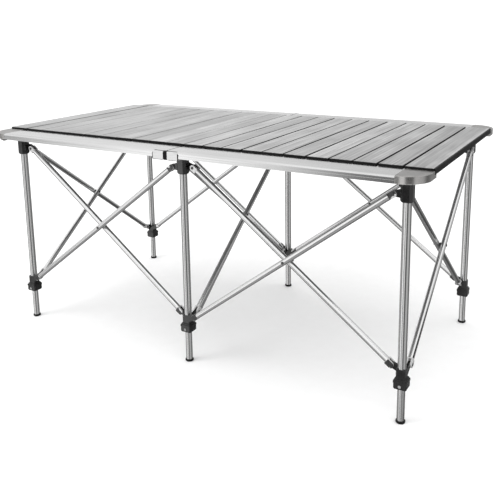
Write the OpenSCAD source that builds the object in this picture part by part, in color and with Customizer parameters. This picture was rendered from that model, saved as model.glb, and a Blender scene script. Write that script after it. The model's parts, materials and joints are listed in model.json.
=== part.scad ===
// Folding picnic table: a slatted aluminium top in two hinged halves, lifted on to
// a six-legged frame whose crossed braces fold like scissors in both directions.
// Millimetres. +X runs along the table, -Y is its front, +Z is up.
// The origin is on the ground under the middle of the top.

/* [Table] */
// Overall length of the top
table_l = 1400; // [1360:10:1440]
// Overall width of the top, from front rail to back rail
table_w = 800; // [780:10:840]
// Height of the top's upper face above the ground
table_h = 650; // [620:10:700]

/* [Legs] */
// Distance from the end of the top to the axis of the end legs
leg_inset_x = 60; // [50:5:75]
// Distance from the long edge of the top to the axis of the legs
leg_inset_y = 80; // [75:1:84]
// Outer diameter of the upper leg tubes
upper_tube_d = 22; // [22:0.5:23]
// Outer diameter of the lower leg tubes, which slide inside the upper ones
lower_tube_d = 19.4; // [18:0.1:19.4]
// Height of the lower brackets' pivots above the ground
low_pivot_z = 145; // [130:5:170]

/* [Braces] */
// Outer diameter of the brace tubes
brace_d = 16; // [14:0.5:16]
// Distance from a leg's axis to the pivots on its brackets
pivot_reach = 30; // [30:1:34]
// Thickness of a bracket's lug
lug_t = 6; // [5:0.5:7]
// Radius of the pivot rivets
rivet_r = 2.5; // [2:0.25:3]

/* [Top] */
// Height of the side rails' section
rail_h = 18; // [16:1:20]
// Width of the upper flange of a side rail
rail_flange_w = 85; // [80:1:88]
// Width of the ledge that carries the ends of the slats
ledge_w = 15; // [12:1:18]
// Width of each regular slat
slat_w = 59.5; // [58:0.5:60]
// Thickness of the slats
slat_t = 15; // [12:1:15]
// How far the slats stand above the side rails
slat_rise = 5; // [3:1:5]
// Radius of the table's corners in plan
corner_r = 60; // [40:1:62]

/* [Hinge] */
// Distance from the middle of the table to each hinge pin
hinge_x = 34; // [34:1:38]
// Radius of the hinge pins
hinge_pin_r = 2; // [1.5:0.25:2]

/* [Hidden] */
$fn = 32;
leg_names = [
    "front_left", "front_middle", "front_right",
    "back_left", "back_middle", "back_right"
];
bay_names = ["front_left", "front_right", "back_left", "back_right", "left_end", "middle", "right_end"];
lean_names = ["rising", "falling"];
half_names = ["left", "right"];
side_names = ["front", "back"];

// Clearances: a pin turning in its hole, a part pressed or glued into another,
// and two parts that slide or pass near each other.
running = 0.08;
snug = 0.05;
gap = 0.3;
// Cuts run this far past the faces that they open.
over = 1;

// Frame layout
leg_x = table_l / 2 - leg_inset_x;
leg_y = table_w / 2 - leg_inset_y;
rail_top = table_h - slat_rise;
rail_bottom = rail_top - rail_h;
top_pivot_z = rail_bottom - 42;
rise = top_pivot_z - low_pivot_z;
brace_off = brace_d / 2 + 1;

// Top brackets: a chamfered square body under a wider head
body_w = 30;
body_chamfer = 6;
body_bottom = top_pivot_z - 15;
head_w = 34;
head_bottom = rail_bottom - 13;
head_top = rail_bottom - gap;
lip_w = 27;
lip_h = 3;
lug_r = 8;

// Lower brackets: a square sleeve with lugs above a stepped lock collar
sleeve_w = 24;
sleeve_top = low_pivot_z + 1;
collar_top = low_pivot_z - 24;
collar_bottom = low_pivot_z - 50;
collar_w = 35;
button_r = 4;

// Leg tubes
upper_wall = 1;
lower_wall = 1.2;
upper_tube_bottom = sleeve_top + gap;
upper_tube_top = head_top - 7;
lower_tube_bottom = 3;
lower_tube_top = top_pivot_z - 45;
foot_r = 12.2;
foot_h = 7;

// Braces
brace_wall = 1.2;
fork_w = brace_d + 0.6;
fork_neck = 14;
fork_slot = lug_t + 2 * gap;
spigot_l = 20;
head_r = 4;
head_t = 1.2;
washer_r = 6;

// Top
wall = 1.8;
rail_edge_r = 5;
rail_split = 1.5;
rail_end = table_l / 2 - 67;
slat_top = table_h;
slat_bottom = slat_top - slat_t;
slat_end_y = table_w / 2 - rail_flange_w - 3;
slat_edge_r = 1.8;
slat_wall = 1;
slat_start = 1.75;
// The gaps between one slat and the next, from the middle of the table outwards
slat_gaps = [2.5, 1.5, 4.5, 1.8, 4, 4, 2.5, 2.5, 4.5, 4.5];
slat_count = len(slat_gaps);
trim_t = 3;
cap_t = 2.4;
plug_l = 8;
corner_wall = 2.5;
rib_w = 8;
rib_drop = 6;

// Hinge
hinge_z = table_h - 10;
sleeve_start = 6.6;
sleeve_end = hinge_x + 6.6;
sleeve_proud = 1.2;
sleeve_drop = 5.5;
link_in = 3;
link_t = 4;
link_r = 4;
block_half = 5.5;
block_depth = 8.3;

function sum_to(list, n) = n == 0 ? 0 : list[n - 1] + sum_to(list, n - 1);
function slat_x(i) = slat_start + i * slat_w + sum_to(slat_gaps, i);
function leg_pos(k) = [((k % 3) - 1) * leg_x, (k < 3 ? -1 : 1) * leg_y, 0];

// A block with rounded upright edges, centred in plan and standing on z = 0.
module rounded_block(w, h, r) {
    cube_l = w - 2 * r;
    translate([-w / 2, -cube_l / 2, 0])
        cube([w, cube_l, h]);
    translate([-cube_l / 2, -w / 2, 0])
        cube([cube_l, w, h]);
    for (x = [-1, 1], y = [-1, 1])
        translate([x * cube_l / 2, y * cube_l / 2, 0])
            cylinder(r = r, h = h);
}

// A cylinder along Y, centred on the origin.
module y_rod(r, l) {
    rotate([90, 0, 0])
        cylinder(r = r, h = l, center = true);
}

// A round tube between two heights.
module upright_tube(d, t, low, high) {
    difference() {
        translate([0, 0, low])
            cylinder(d = d, h = high - low);
        translate([0, 0, low - over])
            cylinder(d = d - 2 * t, h = high - low + 2 * over);
    }
}

// The directions in which leg k's brackets have lugs. A lug lies to its own left on a
// top bracket and to its own right on a lower one, so that every rising brace runs on
// the front or right of its legs and every falling one behind it.
function lug_directions(k) = concat(k % 3 < 2 ? [0] : [], k % 3 > 0 ? [180] : [], [k < 3 ? 90 : 270]);

// One lug: a plate from the bracket's side out to a round end at the pivot.
module lug(from, drop, lift) {
    rotate([90, 0, 0])
        linear_extrude(lug_t, center = true)
            polygon([
                [from, -drop], [from, lift], [pivot_reach, lug_r], [pivot_reach + lug_r * 0.7, -lug_r * 0.7]
            ]);
    translate([pivot_reach, 0, 0])
        y_rod(lug_r, lug_t);
}

// Puts its children at each lug of leg k's bracket, side being 1 for a top bracket
// and -1 for a lower one.
module at_lugs(k, side) {
    for (direction = lug_directions(k))
        rotate([0, 0, direction])
            translate([0, side * brace_off, 0])
                children();
}

module lug_hole() {
    translate([pivot_reach, 0, 0])
        y_rod(rivet_r + running, lug_t + 2 * over);
}

module chamfered_square(w, c) {
    h = w / 2;
    polygon([
        [-h + c, -h], [h - c, -h], [h, -h + c], [h, h - c],
        [h - c, h], [-h + c, h], [-h, h - c], [-h, -h + c]
    ]);
}

module top_bracket(k) {
    color("dimgray")
        difference() {
            union() {
                translate([0, 0, body_bottom])
                    linear_extrude(head_bottom - body_bottom)
                        chamfered_square(body_w, body_chamfer);
                translate([0, 0, body_bottom - lip_h])
                    linear_extrude(lip_h)
                        chamfered_square(lip_w, body_chamfer);
                translate([0, 0, head_bottom])
                    rounded_block(head_w, head_top - head_bottom, 3);
                translate([0, 0, top_pivot_z])
                    at_lugs(k, 1)
                        lug(12, lug_r, 14);
            }
            translate([0, 0, body_bottom - lip_h - over])
                cylinder(r = upper_tube_d / 2 + snug, h = upper_tube_top - body_bottom + lip_h + over + snug);
            translate([0, 0, top_pivot_z])
                at_lugs(k, 1)
                    lug_hole();
        }
}

module upper_tube() {
    color("silver")
        upright_tube(upper_tube_d, upper_wall, upper_tube_bottom, upper_tube_top);
}

module lower_bracket(k) {
    front = k < 3 ? -1 : 1;
    color("#1c1c1e")
        difference() {
            union() {
                translate([0, 0, collar_top])
                    rounded_block(sleeve_w, sleeve_top - collar_top, 2);
                translate([0, 0, low_pivot_z])
                    at_lugs(k, -1)
                        lug(9, 18, 3);
                translate([0, 0, collar_top - 4])
                    rounded_block(collar_w - 5, 4, 3);
                translate([0, 0, collar_top - 10])
                    rounded_block(collar_w, 6, 3);
                translate([0, 0, collar_bottom + 2])
                    rounded_block(collar_w - 1.6, collar_top - collar_bottom - 12, 3);
                translate([0, 0, collar_bottom])
                    rounded_block(collar_w - 4, 2, 3);
                translate([0, front * (collar_w / 2 - 0.8), collar_bottom + 9])
                    y_rod(button_r, 3);
            }
            translate([0, 0, collar_bottom - over])
                cylinder(r = lower_tube_d / 2 + snug, h = sleeve_top - collar_bottom + 2 * over);
            translate([0, 0, sleeve_top])
                cylinder(r = upper_tube_d / 2 + gap, h = 3 * lug_r);
            translate([0, 0, low_pivot_z])
                at_lugs(k, -1)
                    lug_hole();
        }
}

module lower_tube() {
    color("silver")
        upright_tube(lower_tube_d, lower_wall, lower_tube_bottom, lower_tube_top);
}

// A rubber cup with a flat sole, plugged into the lower tube.
module foot() {
    tube_r = lower_tube_d / 2;
    plug_r = tube_r - lower_wall - snug;
    plug_top = 18;
    color("#141414")
        rotate_extrude()
            polygon([
                [0, 0], [foot_r - 1.8, 0], [foot_r, 2], [foot_r, foot_h - 1.5], [foot_r - 1.5, foot_h],
                [tube_r + snug, foot_h], [tube_r + snug, lower_tube_bottom],
                [plug_r, lower_tube_bottom], [plug_r, plug_top], [0, plug_top]
            ]);
}

// The end fitting of a brace, with its pivot at the origin and the tube along +X.
module brace_fork() {
    difference() {
        union() {
            y_rod(fork_w / 2, fork_w);
            translate([0, -fork_w / 2, -fork_w / 2])
                cube([fork_neck, fork_w, fork_w]);
            translate([fork_neck - over, 0, 0])
                rotate([0, 90, 0])
                    cylinder(r = brace_d / 2 - brace_wall - snug, h = spigot_l + over);
        }
        translate([-brace_d, -fork_slot / 2, -brace_d])
            cube([brace_d + fork_neck - 3, fork_slot, 2 * brace_d]);
        y_rod(rivet_r + snug, fork_w + 2 * over);
    }
}

// A rivet along Y with a low head at each end of its grip.
module rivet(grip) {
    y_rod(rivet_r, grip);
    for (s = [-1, 1])
        translate([0, s * (grip + head_t) / 2, 0])
            y_rod(head_r, head_t);
}

// A brace along X, centred on its middle pivot. mate is the direction along Y of
// the brace that it crosses, for the one of the pair that carries the middle rivet.
module brace(l, mate) {
    tube_l = l - 2 * fork_neck;
    color("gainsboro") {
        difference() {
            rotate([0, 90, 0])
                cylinder(d = brace_d, h = tube_l, center = true);
            rotate([0, 90, 0])
                cylinder(d = brace_d - 2 * brace_wall, h = tube_l + 2 * over, center = true);
            y_rod(rivet_r + (mate == 0 ? running : snug), brace_d + 2 * over);
        }
        for (s = [0, 180])
            rotate([0, 0, s])
                translate([-l / 2, 0, 0]) {
                    brace_fork();
                    rivet(fork_w);
                }
        if (mate != 0)
            translate([0, mate * brace_off, 0]) {
                rivet(2 * brace_off + brace_d);
                difference() {
                    y_rod(washer_r, 2 * brace_off - brace_d - 2 * gap);
                    y_rod(rivet_r + snug, brace_d);
                }
            }
    }
}

// A brace in the upright plane between two legs: lean is 0 for rising, 1 for falling.
module placed_brace(bay, lean) {
    along_x = bay < 4;
    run = 2 * (along_x ? leg_x / 2 : leg_y) - 2 * pivot_reach;
    l = norm([run, rise]);
    centre = along_x
        ? [(bay % 2 - 0.5) * leg_x, (bay < 2 ? -1 : 1) * leg_y, 0]
        : [(bay - 5) * leg_x, 0, 0];
    translate(centre + [0, 0, (top_pivot_z + low_pivot_z) / 2])
        rotate([0, 0, along_x ? 0 : 90])
            translate([0, (lean == 0 ? -1 : 1) * brace_off, 0])
                rotate([0, (lean == 0 ? -1 : 1) * atan2(rise, run), 0])
                    brace(l, lean == 0 ? 0 : -1);
}

// The section of a side rail, drawn in from its outer face and up from its underside,
// with every side moved inwards by t.
module rail_section(t) {
    r = rail_edge_r - t;
    translate([rail_edge_r, t])
        square([rail_flange_w - t - rail_edge_r, rail_h - 2 * t]);
    translate([t, t])
        square([rail_edge_r, rail_h - t - rail_edge_r]);
    translate([rail_edge_r, rail_h - rail_edge_r])
        circle(r = r);
    translate([rail_edge_r, t])
        square([rail_flange_w + ledge_w - t - rail_edge_r, slat_bottom - rail_bottom - 2 * t]);
}

// Children drawn for the front right quarter, moved to the given half and side.
module quarter(half, side) {
    mirror([half == 0 ? 1 : 0, 0, 0])
        mirror([0, side == 1 ? 1 : 0, 0])
            children();
}

// Moves a shape drawn from the outer face of the front rail's underside into place.
module on_rail() {
    translate([0, -table_w / 2, rail_bottom])
        children();
}

module side_rail() {
    groove_h = 3;
    groove_d = 0.8;
    slot_w = link_t + 0.8;
    color("lightgray")
        difference() {
            on_rail()
                translate([rail_split, 0, 0])
                    rotate([90, 0, 90])
                        linear_extrude(rail_end - rail_split)
                            difference() {
                                rail_section(0);
                                rail_section(wall);
                                translate([-over, (rail_h - groove_h) / 2])
                                    square([groove_d + over, groove_h]);
                            }
            // the opening that shows the hinge block between the sleeves
            on_rail()
                translate([0, -over, -over])
                    cube([sleeve_start, block_depth + 0.5 + over, rail_h + 2 * over]);
            // the slot that the link swings up through
            on_rail()
                translate([0, link_in - 0.4, rail_h / 2])
                    cube([hinge_x + link_r + 0.5, slot_w, rail_h]);
            translate([hinge_x, -table_w / 2, hinge_z])
                y_rod(hinge_pin_r + snug, 2 * link_in);
        }
}

// The section of a slat, w wide, with every side moved inwards by t.
module slat_section(w, t) {
    r = slat_edge_r - t;
    translate([t, t])
        square([w - 2 * t, slat_t - t - slat_edge_r]);
    if (r > 0) {
        translate([slat_edge_r, 0])
            square([w - 2 * slat_edge_r, slat_t]);
        for (x = [slat_edge_r, w - slat_edge_r])
            translate([x, slat_t - slat_edge_r])
                circle(r = r);
    }
    translate([max(t, slat_edge_r), t])
        square([w - 2 * max(t, slat_edge_r), slat_t - 2 * t]);
}

module slat(x, w) {
    translate([x, slat_end_y, slat_bottom])
        rotate([90, 0, 0])
            linear_extrude(2 * slat_end_y)
                difference() {
                    slat_section(w, 0);
                    translate([slat_wall, slat_wall])
                        square([w / 2 - 1.5 * slat_wall, slat_t - 2 * slat_wall]);
                    translate([(w + slat_wall) / 2, slat_wall])
                        square([w / 2 - 1.5 * slat_wall, slat_t - 2 * slat_wall]);
                }
}

end_slat_x = slat_x(slat_count);
end_slat_w = table_l / 2 - trim_t - end_slat_x;

module slats() {
    color("gainsboro")
        for (i = [0:slat_count - 1])
            slat(slat_x(i), slat_w);
}

module end_slat() {
    color("gainsboro")
        slat(end_slat_x, end_slat_w);
}

// The cap on one end of a slat, with its two plugs in the slat's chambers.
module slat_cap(x, w) {
    plug_w = w / 2 - 1.5 * slat_wall - 2 * snug;
    plug_h = slat_t - 2 * slat_wall - 2 * snug;
    translate([x + 0.4, slat_end_y, slat_bottom + 0.2])
        cube([w - 0.8, cap_t, slat_t - 0.8]);
    for (px = [slat_wall, (w + slat_wall) / 2])
        translate([x + px + snug, slat_end_y - plug_l, slat_bottom + slat_wall + snug])
            cube([plug_w, plug_l + over, plug_h]);
}

// The black caps on both ends of every slat, and the strip along the end slat's edge.
module slat_caps() {
    trim_h = slat_t - 0.6;
    color("#161616") {
        for (side = [0, 1])
            mirror([0, side, 0]) {
                for (i = [0:slat_count - 1])
                    slat_cap(slat_x(i), slat_w);
                slat_cap(end_slat_x, end_slat_w);
            }
        translate([table_l / 2 - trim_t, -slat_end_y, slat_top - trim_h - 0.3])
            cube([trim_t, 2 * slat_end_y, trim_h]);
    }
}

// A corner in plan, from the end of the rail out to the end of the table. depth is
// how far it reaches in from the outer face, and t moves every side inwards.
module corner_plan(depth, t) {
    l = table_l / 2 - rail_end - gap;
    r = corner_r - t;
    difference() {
        translate([t, t])
            square([l - 2 * t, depth - 2 * t]);
        translate([l - corner_r, -over])
            square([corner_r + over, corner_r + over]);
    }
    intersection() {
        translate([l - corner_r, corner_r])
            circle(r = r, $fn = 96);
        translate([max(t, l - corner_r - r), t])
            square([l, corner_r]);
    }
}

// A moulded corner: a shell open below, with a plug in the rail's end and two ribs
// under its outer edge.
module corner_cap() {
    step = slat_bottom - rail_bottom;
    plug = 18;
    x0 = rail_end + gap;
    color("#77746c")
        translate([x0, -table_w / 2, rail_bottom]) {
            difference() {
                union() {
                    linear_extrude(rail_h)
                        corner_plan(rail_flange_w, 0);
                    linear_extrude(step)
                        corner_plan(rail_flange_w + ledge_w, 0);
                }
                translate([0, 0, -over])
                    linear_extrude(rail_h - corner_wall + over)
                        corner_plan(rail_flange_w, corner_wall);
            }
            translate([-plug, rail_edge_r + wall, wall + snug])
                cube([plug + corner_wall, rail_flange_w - rail_edge_r - 3 * wall, rail_h - 2 * wall - 2 * snug]);
            for (x = [8, 8 + 2 * rib_w])
                translate([x, corner_r - sqrt(corner_r ^ 2 - (x + rib_w) ^ 2) + rib_w / 2, -rib_drop])
                    cube([rib_w, 1.5 * rib_w, rib_drop + rail_h - over]);
        }
}

module corner_caps() {
    for (side = [0, 1])
        quarter(1, side)
            corner_cap();
}

// One half of a hinge on one rail: the sleeve over the rail's end, the ear inside the
// rail and the pin through both.
module hinge_sleeve() {
    sleeve_l = sleeve_end - sleeve_start;
    ear_in = link_in + link_t + 0.4;
    ear_t = 5;
    pin_l = ear_in + ear_t + sleeve_proud - 0.4;
    plate_h = hinge_z + hinge_pin_r + 1.8 - rail_bottom;
    difference() {
        on_rail()
            union() {
                translate([sleeve_start, -sleeve_proud, -sleeve_drop])
                    cube([sleeve_l, sleeve_proud - snug, plate_h + sleeve_drop]);
                translate([sleeve_start, -sleeve_proud, -sleeve_drop])
                    cube([sleeve_l, 16, sleeve_drop - snug]);
            }
        translate([hinge_x, -table_w / 2, hinge_z])
            y_rod(hinge_pin_r + snug, 4 * sleeve_proud);
    }
    difference() {
        on_rail()
            translate([hinge_x - 5, ear_in, wall + snug])
                cube([10, ear_t, rail_h - 2 * wall - 2 * snug]);
        translate([hinge_x, -table_w / 2, hinge_z])
            y_rod(hinge_pin_r + snug, 4 * ear_in);
    }
    translate([hinge_x, -table_w / 2 - sleeve_proud + 0.2 + pin_l / 2, hinge_z])
        y_rod(hinge_pin_r, pin_l);
}

module hinge_sleeves() {
    color("whitesmoke")
        for (side = [0, 1])
            quarter(1, side)
                hinge_sleeve();
}

// The link between the two pins of one rail's hinge: a bar behind the rail's face and
// a block that fills the opening between the sleeves.
module hinge_link() {
    block_bottom = rail_bottom - sleeve_drop - 1;
    difference() {
        union() {
            translate([0, -table_w / 2 + link_in + link_t / 2, hinge_z]) {
                for (x = [-hinge_x, hinge_x])
                    translate([x, 0, 0])
                        y_rod(link_r, link_t);
                translate([-hinge_x, -link_t / 2, -link_r])
                    cube([2 * hinge_x, link_t, 2 * link_r]);
            }
            translate([-block_half, -table_w / 2 + gap, block_bottom])
                cube([2 * block_half, block_depth - gap, hinge_z + link_r + 0.5 - block_bottom]);
        }
        for (x = [-hinge_x, hinge_x])
            translate([x, -table_w / 2, hinge_z])
                y_rod(hinge_pin_r + running, 4 * block_depth);
    }
}

module hinge_links() {
    color("#161616")
        for (side = [0, 1])
            mirror([0, side, 0])
                hinge_link();
}

for (k = [0:5]) {
    translate(leg_pos(k)) top_bracket(k);
    translate(leg_pos(k)) upper_tube();
    translate(leg_pos(k)) lower_bracket(k);
    translate(leg_pos(k)) lower_tube();
    translate(leg_pos(k)) foot();
}
for (bay = [0:6], lean = [0, 1])
    placed_brace(bay, lean);
for (half = [0, 1]) {
    for (side = [0, 1])
        quarter(half, side) side_rail();
    quarter(half, 0) slats();
    quarter(half, 0) end_slat();
    quarter(half, 0) slat_caps();
    quarter(half, 0) corner_caps();
    quarter(half, 0) hinge_sleeves();
}
hinge_links();
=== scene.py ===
"""Folding picnic table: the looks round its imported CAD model."""
import json
import math

import bmesh
import bpy
import numpy as np
from mathutils import Matrix, Vector

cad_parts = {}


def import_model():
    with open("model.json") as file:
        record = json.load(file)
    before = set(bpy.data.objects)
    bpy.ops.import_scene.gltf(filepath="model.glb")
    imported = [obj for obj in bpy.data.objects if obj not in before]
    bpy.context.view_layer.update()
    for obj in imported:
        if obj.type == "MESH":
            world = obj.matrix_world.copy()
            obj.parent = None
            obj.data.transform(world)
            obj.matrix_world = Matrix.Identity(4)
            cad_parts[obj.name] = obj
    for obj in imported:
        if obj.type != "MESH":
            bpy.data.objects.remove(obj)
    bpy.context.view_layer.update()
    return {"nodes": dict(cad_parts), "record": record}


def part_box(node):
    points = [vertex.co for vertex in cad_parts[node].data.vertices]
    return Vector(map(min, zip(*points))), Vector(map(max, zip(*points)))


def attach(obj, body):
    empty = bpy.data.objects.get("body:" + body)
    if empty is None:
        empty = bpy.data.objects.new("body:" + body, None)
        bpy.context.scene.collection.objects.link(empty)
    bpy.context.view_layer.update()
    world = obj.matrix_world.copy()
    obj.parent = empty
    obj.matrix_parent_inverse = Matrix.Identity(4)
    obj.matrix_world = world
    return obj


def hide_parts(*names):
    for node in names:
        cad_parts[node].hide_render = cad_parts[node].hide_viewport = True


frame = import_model()

LEGS = [f"{side}_{place}" for side in ("front", "back") for place in ("left", "middle", "right")]
BAYS = ["front_left", "front_right", "back_left", "back_right", "left_end", "middle", "right_end"]
HALVES = ("left", "right")
SIDES = ("front", "back")
ALONG_X, ALONG_Y = (1, 0, 0), (0, 1, 0)

SLAT_PITCH = 0.06275  # average distance from one slat's edge to the next one's
CLEAR = 0.0001  # how far past a plane a face has to be to count as beyond it


# ---------------------------------------------------------------- materials
class Nodes:
    """A material's node tree, with short calls for the nodes used here."""

    def __init__(self, name, **sockets):
        self.material = bpy.data.materials.new(name)
        self.material.use_nodes = True
        self.tree = self.material.node_tree
        self.shader = self.tree.nodes["Principled BSDF"]
        for socket, value in sockets.items():
            self.shader.inputs[socket.replace("_", " ")].default_value = value

    def add(self, kind, **settings):
        node = self.tree.nodes.new(kind)
        for key, value in settings.items():
            setattr(node, key, value)
        return node

    def link(self, out, to):
        self.tree.links.new(out, to)

    def place(self, scale=(1, 1, 1)):
        """Object coordinates in metres, stretched by scale."""
        coords = self.add("ShaderNodeTexCoord")
        mapping = self.add("ShaderNodeMapping")
        mapping.inputs["Scale"].default_value = scale
        self.link(coords.outputs["Object"], mapping.inputs["Vector"])
        return mapping.outputs["Vector"]

    def noise(self, vector, scale=1.0, detail=3.0, rough=0.55):
        node = self.add("ShaderNodeTexNoise")
        node.inputs["Scale"].default_value = scale
        node.inputs["Detail"].default_value = detail
        node.inputs["Roughness"].default_value = rough
        self.link(vector, node.inputs["Vector"])
        return node.outputs["Fac"]

    def math(self, operation, a, b=0.0):
        node = self.add("ShaderNodeMath", operation=operation)
        for i, value in enumerate((a, b)):
            if isinstance(value, (int, float)):
                node.inputs[i].default_value = value
            else:
                self.link(value, node.inputs[i])
        return node.outputs[0]

    def spread(self, value, low, high, start=0.3, end=0.7):
        """value between start and end, drawn out to run from low to high."""
        node = self.add("ShaderNodeMapRange")
        for socket, number in zip(("From Min", "From Max", "To Min", "To Max"), (start, end, low, high)):
            node.inputs[socket].default_value = number
        self.link(value, node.inputs["Value"])
        return node.outputs["Result"]

    def tint(self, value, dark, light):
        """A colour between two greys or colours, by value."""
        node = self.add("ShaderNodeMix", data_type="RGBA")
        node.inputs[6].default_value = (*dark, 1)
        node.inputs[7].default_value = (*light, 1)
        self.link(value, node.inputs[0])
        return node.outputs[2]

    def bump(self, height, strength, distance):
        node = self.add("ShaderNodeBump")
        node.inputs["Strength"].default_value = strength
        node.inputs["Distance"].default_value = distance
        self.link(height, node.inputs["Height"])
        self.link(node.outputs["Normal"], self.shader.inputs["Normal"])


def brushed(name, dark, light, rough, streak=(3, 420, 420), wear=0.08, depth=0.00001, metallic=1.0):
    """Drawn or brushed metal whose fine lines run along the piece's own X."""
    m = Nodes(name, Metallic=metallic)
    lines = m.noise(m.place(streak), detail=4.0)
    smudge = m.noise(m.place((5, 9, 9)), detail=2.0)
    both = m.math("ADD", m.math("MULTIPLY", lines, 0.7), m.math("MULTIPLY", smudge, 0.3))
    m.link(m.tint(m.spread(both, 0, 1, 0.35, 0.65), dark, light), m.shader.inputs["Base Color"])
    m.link(m.spread(both, rough - wear / 2, rough + wear), m.shader.inputs["Roughness"])
    m.bump(lines, 0.3, depth)
    return m


def grey(value, warm=0.0):
    return (value * (1 + warm), value, value * (1 - warm))


def slat_metal(name, dark, light, rough):
    """Brushed slats, each a slightly different grey, whose lines run along the piece's X."""
    m = brushed(name, dark, light, rough, streak=(5, 250, 250), wear=0.14)
    coords = m.add("ShaderNodeTexCoord")
    parts = m.add("ShaderNodeSeparateXYZ")
    m.link(coords.outputs["Object"], parts.inputs[0])
    across = parts.outputs["Y"]
    from_hinge = m.math("ADD", m.math("ABSOLUTE", across), 0.001)
    count = m.math("FLOOR", m.math("DIVIDE", from_hinge, SLAT_PITCH))
    side = m.math("MULTIPLY", m.math("SIGN", across), 17.3)
    noise = m.add("ShaderNodeTexWhiteNoise", noise_dimensions="1D")
    m.link(m.math("ADD", count, side), noise.inputs["W"])
    brushed_color = m.shader.inputs["Base Color"].links[0].from_socket
    mix = m.add("ShaderNodeMix", data_type="RGBA", blend_type="MULTIPLY")
    mix.inputs[0].default_value = 1.0
    m.link(brushed_color, mix.inputs[6])
    tone = m.add("ShaderNodeCombineColor")
    level = m.spread(noise.outputs["Value"], 0.82, 1.0, 0.0, 1.0)
    for socket in tone.inputs:
        m.link(level, socket)
    m.link(tone.outputs[0], mix.inputs[7])
    m.link(mix.outputs[2], m.shader.inputs["Base Color"])
    return m


def moulded(name, dark, light, rough, grain=900.0, depth=0.00006, **sockets):
    """Moulded plastic or rubber with a fine grain and slightly uneven gloss."""
    m = Nodes(name, **sockets)
    fine = m.noise(m.place(), grain, detail=2.0)
    cloud = m.noise(m.place(), 25.0, detail=3.0)
    m.link(m.tint(m.spread(cloud, 0, 1), dark, light), m.shader.inputs["Base Color"])
    m.link(m.spread(cloud, rough - 0.07, rough + 0.08), m.shader.inputs["Roughness"])
    m.bump(fine, 0.4, depth)
    return m


SLAT = slat_metal("slat_brushed", grey(0.4), grey(0.8), 0.4).material
# Near-black slat sides: painted shade that darkens the gaps between the slats.
SLAT_PAINTED_GAP_SHADE = moulded("slat_side_painted_shade", grey(0.004), grey(0.012), 0.6, Specular_IOR_Level=0.2).material
RAIL = brushed(
    "rail_brushed", grey(0.6), grey(0.78), 0.14, streak=(2.5, 500, 500), wear=0.05
).material
TUBE = brushed(
    "tube_drawn", grey(0.74), grey(0.86), 0.15, (0.8, 500, 500), wear=0.05, depth=0.000002
).material
BRACE = brushed(
    "brace_drawn", grey(0.72), grey(0.86), 0.17, (0.8, 500, 500), wear=0.06, depth=0.000002
).material
CAST = brushed(
    "fork_cast", grey(0.66), grey(0.8), 0.3, (260, 260, 260), depth=0.00003, metallic=0.6
).material
STEEL = brushed("rivet_steel", grey(0.06), grey(0.14), 0.3, streak=(300, 300, 300)).material
SLEEVE = brushed("sleeve_satin", grey(0.8), grey(0.92), 0.34, streak=(8, 500, 500)).material
BLACK = moulded("bracket_plastic", grey(0.004), grey(0.012), 0.17, Specular_IOR_Level=0.8).material
COLLAR = moulded("collar_plastic", grey(0.004), grey(0.012), 0.2, Specular_IOR_Level=0.7).material
BUTTON = moulded("button_plastic", grey(0.2), grey(0.3), 0.3).material
RUBBER = moulded(
    "foot_rubber", grey(0.004), grey(0.012), 0.62, grain=500.0, depth=0.00015, Specular_IOR_Level=0.25
).material
TRIM = moulded("cap_plastic", grey(0.003), grey(0.008), 0.5, Specular_IOR_Level=0.15).material
CORNER = brushed(
    "corner_satin", grey(0.3, 0.02), grey(0.42, 0.02), 0.32, streak=(60, 60, 60)
).material
# The corner caps' rim is glossier than the top, and is also painted a lighter grey than the top: a
# painted highlight along the rim.
CORNER_RIM_PAINTED_HIGHLIGHT = brushed(
    "corner_gloss_painted_highlight", grey(0.58, 0.02), grey(0.72, 0.02), 0.2, streak=(30, 30, 30), wear=0.06
).material


# ------------------------------------------------------------------- pieces
def end_to_end(points):
    """The direction from one far end of a long part to the other."""
    centre = (points.min(0) + points.max(0)) / 2
    offset = points - centre
    far = offset[np.argmax((offset**2).sum(1))]
    along = offset @ far / np.linalg.norm(far)
    limit = 0.96 * abs(along).max()
    line = points[along > limit].mean(0) - points[along < -limit].mean(0)
    return Vector(line).normalized()


def lying_along(direction, centre):
    """A placement whose X runs along direction."""
    x = Vector(direction).normalized()
    z = Vector((0, 0, 1)) if abs(x.z) < 0.9 else Vector((0, -1, 0))
    y = z.cross(x).normalized()
    turn = Matrix((x, y, x.cross(y))).transposed().to_4x4()
    return Matrix.Translation(centre) @ turn


def centre_of(points):
    """The middle of the box round some points."""
    return Vector(((points.min(0) + points.max(0)) / 2).tolist())


def body_of(node):
    for body, names in frame["record"]["behaviour"]["bodies"].items():
        if node in names:
            return body
    raise KeyError(node)


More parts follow.
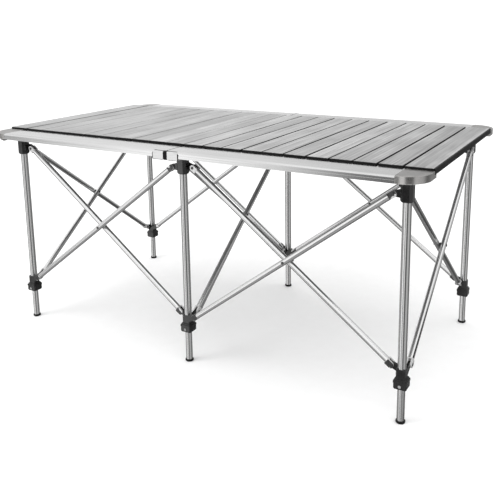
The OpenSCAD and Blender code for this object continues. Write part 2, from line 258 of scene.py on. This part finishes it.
def piece(node, materials, rule=None, along=None, bevel=0.0, smooth=32, cut=None):
    """A finished copy of a CAD node.

    rule gives a face's material number from its middle and normal. along is the direction that
    the piece's own X takes, or "length" for its longest direction. Faces are split at height cut.
    """
    source = frame["nodes"][node]
    points = np.empty(len(source.data.vertices) * 3, np.float32)
    source.data.vertices.foreach_get("co", points)
    points = points.reshape(-1, 3)
    place = Matrix.Identity(4)
    if along == "length":
        along = end_to_end(points)
    if along is not None:
        if along in (ALONG_X, ALONG_Y):
            place = lying_along(along, (0, 0, 0))
        else:
            middle = centre_of(points)
            place = lying_along(along, middle)
            # A rivet may stand out on one side only, so the ends say where the axis is.
            reach = np.abs((points - np.array(middle)) @ np.array(along))
            across = place.col[1].xyz
            off = across.dot(centre_of(points[reach > 0.97 * reach.max()]) - middle)
            place.translation += across * off
    build = bmesh.new()
    build.from_mesh(source.data)
    bmesh.ops.remove_doubles(build, verts=build.verts, dist=2e-6)
    build.transform(place.inverted())
    bmesh.ops.dissolve_limit(build, angle_limit=math.radians(0.5), verts=build.verts, edges=build.edges)
    if cut is not None:
        everything = [*build.verts, *build.edges, *build.faces]
        bmesh.ops.bisect_plane(build, geom=everything, plane_co=(0, 0, cut), plane_no=(0, 0, 1))
    mesh = bpy.data.meshes.new(f"{node}_look")
    build.normal_update()
    for face in build.faces:
        face.smooth = True
        face.material_index = rule(face.calc_center_median(), face.normal) if rule else 0
    build.to_mesh(mesh)
    build.free()
    if "custom_normal" in mesh.attributes:
        mesh.attributes.remove(mesh.attributes["custom_normal"])
    for material in materials:
        mesh.materials.append(material)
    mesh.set_sharp_from_angle(angle=math.radians(smooth))
    made = bpy.data.objects.new(f"{node}_look", mesh)
    bpy.context.scene.collection.objects.link(made)
    made.matrix_world = place
    if bevel:
        edge = made.modifiers.new("edges", "BEVEL")
        edge.width = bevel
        edge.segments = 2
        edge.limit_method = "ANGLE"
        edge.angle_limit = math.radians(40)
        edge.use_clamp_overlap = False
        edge.harden_normals = True
        edge.miter_outer = "MITER_ARC"
    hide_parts(node)
    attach(made, body_of(node))
    return made


def top_half(half):
    """The slats, caps, rails, corners and hinge sleeves of one half of the top."""
    # The slats' side faces get a near-black material: painted shade that makes the gaps between slats
    # dark. In the right half the rounded edges of the slats get this painted shade as well, so the gaps
    # look bolder there.
    edge = 0.3 if half == "right" else 0.9
    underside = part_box(f"side_rail_front_{half}")[0].z

    def slat_gap_shade_face(middle, normal):
        return 1 if abs(normal.y) > edge else 0

    # The end slats' sides get the same painted gap shade.
    def end_slat_gap_shade_face(middle, normal):
        return 1 if abs(normal.y) > 0.3 else 0

    # Top faces take the plain corner grey, the other faces above the rail's underside the rim grey with
    # its painted highlight.
    def corner_face(middle, normal):
        if middle.z < underside - CLEAR:
            return 2
        return 0 if normal.z > 0.9 else 1

    corner_looks = [CORNER, CORNER_RIM_PAINTED_HIGHLIGHT, BLACK]
    piece(f"slats_{half}", [SLAT, SLAT_PAINTED_GAP_SHADE], slat_gap_shade_face, ALONG_Y)
    piece(f"end_slat_{half}", [SLAT, SLAT_PAINTED_GAP_SHADE], end_slat_gap_shade_face, ALONG_Y)
    piece(f"slat_caps_{half}", [TRIM], bevel=0.0003)
    for side in SIDES:
        piece(f"side_rail_{side}_{half}", [RAIL], along=ALONG_X, smooth=40)
    piece(f"corner_caps_{half}", corner_looks, corner_face, bevel=0.0006, cut=underside)
    piece(f"hinge_sleeves_{half}", [SLEEVE], along=ALONG_X, bevel=0.0004)


def hinge_painted_shadow_lip(side, half):
    """The thin black lip round a hinge sleeve, against the rail's face: painted shadow, a dark sheet
    that stands for the shade round the sleeve.
    """
    lip, thick = 0.0026, 0.0005
    sleeve_start, sleeve_end = 0.0066, 0.0406
    below_rail_top = 0.0045
    sign = 1 if half == "right" else -1
    out = -1 if side == "front" else 1
    sleeve_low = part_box(f"hinge_sleeves_{half}")[0].z
    rail_low, rail_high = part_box(f"side_rail_{side}_{half}")
    x0, x1 = sleeve_start - 0.0006, sleeve_end + lip
    z0, z1 = sleeve_low - lip * 0.4, rail_high.z - below_rail_top
    face_y = rail_low.y if side == "front" else rail_high.y
    size = (x1 - x0, thick, z1 - z0, 1)
    middle = Vector((sign * (x0 + x1) / 2, face_y + out * thick / 2, (z0 + z1) / 2))
    place = Matrix.Translation(middle) @ Matrix.Diagonal(size)
    build = bmesh.new()
    bmesh.ops.create_cube(build, size=1)
    bmesh.ops.transform(build, matrix=place, verts=build.verts)
    corners = [e for e in build.edges if abs((e.verts[0].co - e.verts[1].co).y) > thick / 2]
    bmesh.ops.bevel(build, geom=corners, offset=0.0015, segments=3, affect="EDGES")
    mesh = bpy.data.meshes.new(f"hinge_lip_{side}_{half}")
    build.to_mesh(mesh)
    build.free()
    mesh.materials.append(TRIM)
    made = bpy.data.objects.new(mesh.name, mesh)
    bpy.context.scene.collection.objects.link(made)
    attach(made, body_of(f"side_rail_{side}_{half}"))


def hinge_links():
    """The black blocks between the sleeves, and the steel links on either side of them."""
    block_half = 0.0056

    def link_face(middle, normal):
        return 0 if abs(middle.x) < block_half else 1

    piece("hinge_links", [TRIM, STEEL], link_face, ALONG_X, bevel=0.0004)


def leg_parts(leg):
    """A leg's brackets, tubes and foot."""
    outer = -1 if leg.startswith("front") else 1
    lower_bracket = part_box(f"lower_bracket_{leg}")
    button_y = lower_bracket[0 if outer < 0 else 1].y - outer * 0.0002

    def bracket_face(middle, normal):
        return 1 if (middle.y - button_y) * outer > 0 else 0

    piece(f"top_bracket_{leg}", [BLACK], bevel=0.0006)
    piece(f"upper_tube_{leg}", [TUBE], along="length", bevel=0.0002)
    piece(f"lower_bracket_{leg}", [COLLAR, BUTTON], bracket_face, bevel=0.0005)
    piece(f"lower_tube_{leg}", [TUBE], along="length", bevel=0.0002)
    piece(f"foot_{leg}", [RUBBER], bevel=0.0006)


def brace(bay, lean):
    """A brace: its bright tube, the cast forks at its ends and its dark rivets."""
    fork_r, fork_neck, rivet_r = 0.0083, 0.014, 0.0027
    middle_reach = 0.012
    node = f"brace_{bay}_{lean}"
    low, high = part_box(node)
    span = high - low
    run = max(span.x, span.y) - 2 * fork_r
    rise = (span.z - 2 * fork_r) * (1 if lean == "rising" else -1)
    axis = Vector((run, 0, rise) if span.x > span.y else (0, run, rise))
    half = axis.length / 2

    def brace_face(middle, normal):
        along = abs(middle.x)
        if along > half - fork_neck + CLEAR:
            in_rivet = math.hypot(along - half, middle.z) < rivet_r
            return 2 if in_rivet or abs(middle.y) > fork_r + CLEAR else 1
        in_middle = along < middle_reach and math.hypot(middle.y, middle.z) > fork_r
        return 2 if in_middle else 0

    piece(node, [BRACE, CAST, STEEL], brace_face, axis.normalized(), bevel=0.0003)


for half in HALVES:
    top_half(half)
# Painted shadow lips round the hinge sleeves.
for half in HALVES:
    for side in SIDES:
        hinge_painted_shadow_lip(side, half)
hinge_links()
for leg in LEGS:
    leg_parts(leg)
for bay in BAYS:
    for lean in ("rising", "falling"):
        brace(bay, lean)


# ------------------------------------------------------------- camera, light
def camera():
    """The camera looks down at the table from its front right, at the photograph's angle."""
    place = (1.09, -1.803, 0.991)
    lens, shift = 48.31, -0.2
    azimuth, elevation, roll = (math.radians(angle) for angle in (30.47, 11.12, -0.82))
    back = Vector(
        (
            math.sin(azimuth) * math.cos(elevation),
            -math.cos(azimuth) * math.cos(elevation),
            math.sin(elevation),
        )
    )
    x = Vector((0, 0, 1)).cross(back).normalized()
    y = back.cross(x)
    turn = Matrix(
        (
            math.cos(roll) * x + math.sin(roll) * y,
            -math.sin(roll) * x + math.cos(roll) * y,
            back,
        )
    ).transposed()
    data = bpy.data.cameras.new("camera")
    data.sensor_width = 36
    data.lens = lens
    data.shift_y = shift
    made = bpy.data.objects.new("camera", data)
    made.matrix_world = Matrix.Translation(place) @ turn.to_4x4()
    bpy.context.scene.collection.objects.link(made)
    bpy.context.scene.camera = made


def softbox(name, place, aim, size, power):
    """A rectangular light that shiny parts don't reflect."""
    data = bpy.data.lights.new(name, "AREA")
    data.shape = "RECTANGLE"
    data.size, data.size_y = size
    data.energy = power
    made = bpy.data.objects.new(name, data)
    made.location = place
    made.rotation_euler = (Vector(aim) - Vector(place)).to_track_quat("-Z", "Y").to_euler()
    made.visible_glossy = False
    bpy.context.scene.collection.objects.link(made)


def ramp(tree, value, stops):
    """Greys by value, from stops of position and level."""
    node = tree.nodes.new("ShaderNodeValToRGB")
    elements = node.color_ramp.elements
    while len(elements) < len(stops):
        elements.new(0.5)
    for element, (position, level) in zip(elements, stops):
        element.position = position
        element.color = (level, level, level, 1)
    tree.links.new(value, node.inputs[0])
    return node.outputs[0]


def world():
    """A white studio. What shiny parts see of it has soft boxes with dark cards between them."""
    made = bpy.data.worlds.new("studio")
    made.use_nodes = True
    bpy.context.scene.world = made
    tree = made.node_tree
    tree.nodes.clear()
    coords = tree.nodes.new("ShaderNodeTexCoord")
    parts = tree.nodes.new("ShaderNodeSeparateXYZ")
    tree.links.new(coords.outputs["Generated"], parts.inputs[0])

    def maths(operation, *inputs):
        node = tree.nodes.new("ShaderNodeMath")
        node.operation = operation
        for i, value in enumerate(inputs):
            if isinstance(value, (int, float)):
                node.inputs[i].default_value = value
            else:
                tree.links.new(value, node.inputs[i])
        return node.outputs[0]

    turn = maths("ARCTAN2", parts.outputs["X"], maths("MULTIPLY", parts.outputs["Y"], -1))
    share = maths("MULTIPLY_ADD", turn, 0.5 / math.pi, 0.5)

    def degrees(stops):
        return [((angle + 180) / 360, level) for angle, level in stops]

    # Bands from the ground up: the height over which each fades in, and its brightness by
    # direction in degrees from the front.
    bands = [
        (None, [(-180, 0.2), (-100, 0.2), (-60, 0.35), (40, 0.4), (80, 0.08), (150, 0.06), (180, 0.2)]),
        (
            (-0.58, -0.46),
            [
                *[(-180, 0.32), (-100, 0.36), (-60, 0.34), (-50, 0.5), (-45, 1.0), (-39, 1.4)],
                *[(-32, 1.2), (-26, 0.75), (-21, 0.18), (-13, 0.15), (-7, 0.8), (11, 0.8)],
                *[(19, 0.12), (48, 0.12), (60, 0.6), (100, 0.4), (120, 0.12), (180, 0.32)],
            ],
        ),
        (
            (-0.1, 0.03),
            [
                *[(-180, 0.66), (-162, 0.7), (-142, 0.9), (-90, 0.8), (-50, 1.1), (40, 1.1)],
                *[(66, 0.5), (125, 0.5), (180, 0.66)],
            ],
        ),
        ((0.55, 0.72), [(-180, 1.1), (180, 1.1)]),
    ]
    mixed = None
    for fade, stops in bands:
        band = ramp(tree, share, degrees(stops))
        if fade is None:
            mixed = band
            continue
        level = tree.nodes.new("ShaderNodeMapRange")
        level.inputs["From Min"].default_value, level.inputs["From Max"].default_value = fade
        tree.links.new(parts.outputs["Z"], level.inputs["Value"])
        mix = tree.nodes.new("ShaderNodeMix")
        mix.data_type = "RGBA"
        tree.links.new(level.outputs["Result"], mix.inputs[0])
        tree.links.new(mixed, mix.inputs[6])
        tree.links.new(band, mix.inputs[7])
        mixed = mix.outputs[2]
    shiny = tree.nodes.new("ShaderNodeBackground")
    tree.links.new(mixed, shiny.inputs["Color"])
    plain = tree.nodes.new("ShaderNodeBackground")
    plain.inputs["Color"].default_value = (1, 1, 1, 1)
    plain.inputs["Strength"].default_value = 1.3
    path = tree.nodes.new("ShaderNodeLightPath")
    blend = tree.nodes.new("ShaderNodeMixShader")
    tree.links.new(path.outputs["Is Glossy Ray"], blend.inputs[0])
    tree.links.new(plain.outputs[0], blend.inputs[1])
    tree.links.new(shiny.outputs[0], blend.inputs[2])
    out = tree.nodes.new("ShaderNodeOutputWorld")
    tree.links.new(blend.outputs[0], out.inputs["Surface"])


def floor():
    """A wide, plain, pale floor."""
    reach = 30
    corners = [(-reach, -reach, 0), (reach, -reach, 0), (reach, reach, 0), (-reach, reach, 0)]
    mesh = bpy.data.meshes.new("floor")
    mesh.from_pydata(corners, [], [(0, 1, 2, 3)])
    paper = moulded(
        "floor_paper", grey(0.94), grey(0.96), 0.8, grain=300.0, depth=0.00002, Specular_IOR_Level=0.0
    )
    mesh.materials.append(paper.material)
    made = bpy.data.objects.new("floor", mesh)
    bpy.context.scene.collection.objects.link(made)
    made.visible_glossy = False


camera()
world()
floor()
softbox("key", (-2.2, -2.6, 2.8), (0, 0, 0.5), (2.0, 1.4), 45)
softbox("fill", (1.6, -3.0, 1.6), (0, 0, 0.4), (1.6, 1.6), 12)
bpy.context.scene.view_settings.view_transform = "Standard"
